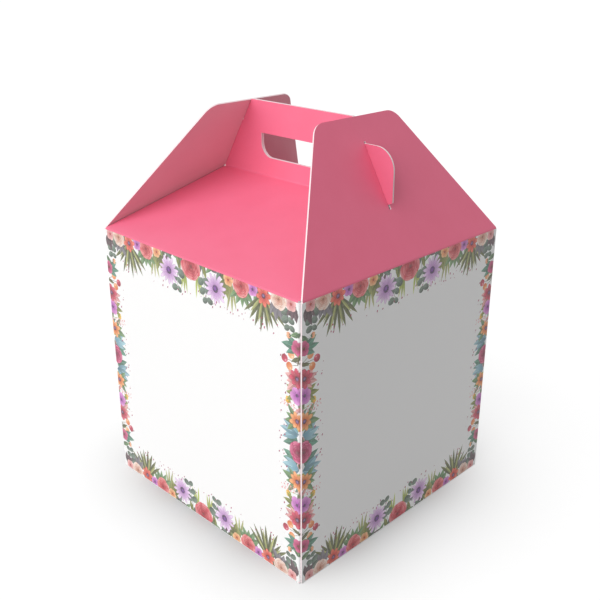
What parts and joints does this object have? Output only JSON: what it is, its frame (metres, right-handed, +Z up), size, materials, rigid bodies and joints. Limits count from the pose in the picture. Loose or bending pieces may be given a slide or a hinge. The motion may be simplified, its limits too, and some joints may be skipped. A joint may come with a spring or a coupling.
{
  "type": "flower box",
  "caption": "Cube-shaped carrier carton of printed board, with a lid of sloping panels that rises to a handle locked by ears in leaning gable panels.",
  "frame": {"origin": "middle of the base, on the surface that the box stands on", "axes": "+X towards the right wall, -Y towards the front wall, +Z up"},
  "size_m": [0.25, 0.25, 0.357],
  "materials": {
    "printed_board": "satin",
    "pink_board": "satin"
  },
  "bodies": {
    "carton": {"front_wall": "printed_board", "right_wall": "printed_board", "back_wall": "printed_board", "left_wall": "printed_board", "glue_flap": "printed_board", "bottom_flap_back": "printed_board", "bottom_flap_left": "printed_board", "bottom_flap_right": "printed_board", "bottom_flap_front": "printed_board"},
    "right_gable": {"gable_right": "pink_board"},
    "left_gable": {"gable_left": "pink_board"},
    "front_roof": {"roof_front": "pink_board"},
    "front_handle": {"handle_front": "pink_board", "ear_left": "pink_board", "ear_right": "pink_board"},
    "back_roof": {"roof_back": "pink_board"},
    "back_handle": {"handle_back": "pink_board"},
    "hole_flap": {"hand_flap": "pink_board"}
  },
  "joints": [
    {"name": "gable_right_crease", "type": "hinge", "parent": "carton", "child": "right_gable", "pos_m": [0.125, 0, 0.25], "axis": [0, 1, 0], "range_deg": [0, 200], "deforming": ["ear_right"]},
    {"name": "gable_left_crease", "type": "hinge", "parent": "carton", "child": "left_gable", "pos_m": [-0.125, 0, 0.25], "axis": [0, -1, 0], "range_deg": [0, 200], "deforming": ["ear_left"]},
    {"name": "roof_front_crease", "type": "hinge", "parent": "carton", "child": "front_roof", "pos_m": [0, -0.125, 0.25], "axis": [1, 0, 0], "range_deg": [0, 100]},
    {"name": "handle_front_crease", "type": "hinge", "parent": "front_roof", "child": "front_handle", "pos_m": [0, -0.00165, 0.29], "axis": [-1, 0, 0], "range_deg": [0, 72]},
    {"name": "roof_back_crease", "type": "hinge", "parent": "carton", "child": "back_roof", "pos_m": [0, 0.125, 0.25], "axis": [-1, 0, 0], "range_deg": [0, 100]},
    {"name": "handle_back_crease", "type": "hinge", "parent": "back_roof", "child": "back_handle", "pos_m": [0, 0.00165, 0.29], "axis": [1, 0, 0], "range_deg": [0, 72]},
    {"name": "hand_flap_crease", "type": "hinge", "parent": "back_handle", "child": "hole_flap", "pos_m": [0, 0.0018, 0.3285], "axis": [-1, 0, 0], "range_deg": [0, 180]}
  ],
  "couplings": [
    {"joint": "gable_left_crease", "follows": "gable_right_crease", "ratio": 1},
    {"joint": "roof_front_crease", "follows": "gable_right_crease", "ratio": 0.5},
    {"joint": "roof_back_crease", "follows": "gable_right_crease", "ratio": 0.5},
    {"joint": "handle_front_crease", "follows": "gable_right_crease", "ratio": 0.36},
    {"joint": "handle_back_crease", "follows": "gable_right_crease", "ratio": 0.36}
  ]
}
